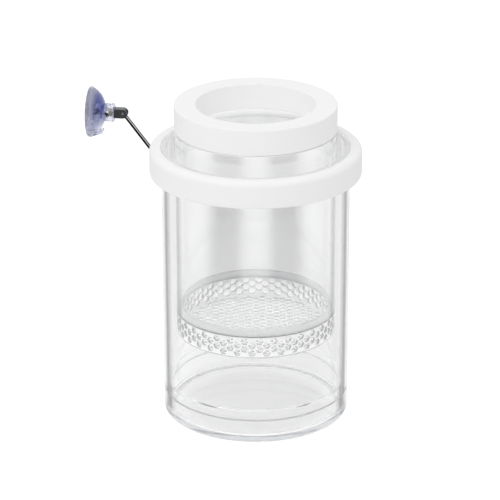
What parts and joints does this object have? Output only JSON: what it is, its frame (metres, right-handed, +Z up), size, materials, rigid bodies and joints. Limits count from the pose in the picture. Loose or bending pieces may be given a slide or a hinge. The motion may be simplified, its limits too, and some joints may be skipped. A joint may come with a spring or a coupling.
{
  "type": "fish breeding box",
  "caption": "Floating breeding box: clear tube in a clear tube, foam ring floats, honeycomb basket, egg tray and a hinged suction cup arm.",
  "frame": {"origin": "centre of the egg tray's flat underside, which is also the axis of both tubes", "axes": "+Z up along the tubes' axis; the arm and its suction cup reach out towards -X, and -Y is the front"},
  "size_m": [0.147, 0.1124, 0.1733],
  "materials": {
    "clear_plastic": "polished",
    "mesh_plastic": "gloss",
    "white_foam": "matte",
    "black_plastic": "gloss",
    "dark_steel": "gloss",
    "pin_steel": "satin",
    "violet_pvc": "gloss"
  },
  "bodies": {
    "tray": {"egg_tray": "clear_plastic"},
    "outer": {"outer_tube": "clear_plastic", "outer_float": "white_foam", "float_bracket": "black_plastic", "bracket_pin": "pin_steel"},
    "inner": {"inner_tube": "clear_plastic", "inner_float": "white_foam"},
    "basket": {"basket": "mesh_plastic"},
    "arm": {"arm_rod": "dark_steel"},
    "head": {"arm_head": "black_plastic", "head_pin": "pin_steel"},
    "cup": {"suction_cup": "violet_pvc"}
  },
  "joints": [
    {"name": "tray_plug", "type": "slide", "parent": "tray", "child": "outer", "axis": [0, 0, 1], "range_m": [0, 0.02]},
    {"name": "inner_lift", "type": "slide", "parent": "outer", "child": "inner", "axis": [0, 0, 1], "range_m": [-0.0233, 0.105], "stiffness_N_per_m": 26.4, "springref_m": 0.02855},
    {"name": "basket_plug", "type": "slide", "parent": "inner", "child": "basket", "axis": [0, 0, -1], "range_m": [0, 0.018]},
    {"name": "arm_swing", "type": "hinge", "parent": "outer", "child": "arm", "pos_m": [-0.05474, 0.02267, 0.1376], "axis": [0.1392, 0.9903, 0], "range_deg": [-97, 27]},
    {"name": "head_tilt", "type": "hinge", "parent": "arm", "child": "head", "pos_m": [-0.07083, 0.02493, 0.15916], "axis": [0.1392, 0.9903, 0], "range_deg": [-27, 52]},
    {"name": "cup_spin", "type": "hinge", "parent": "head", "child": "cup", "pos_m": [-0.07083, 0.02493, 0.15916], "axis": [-0.9903, 0.1392, 0], "continuous": true}
  ]
}
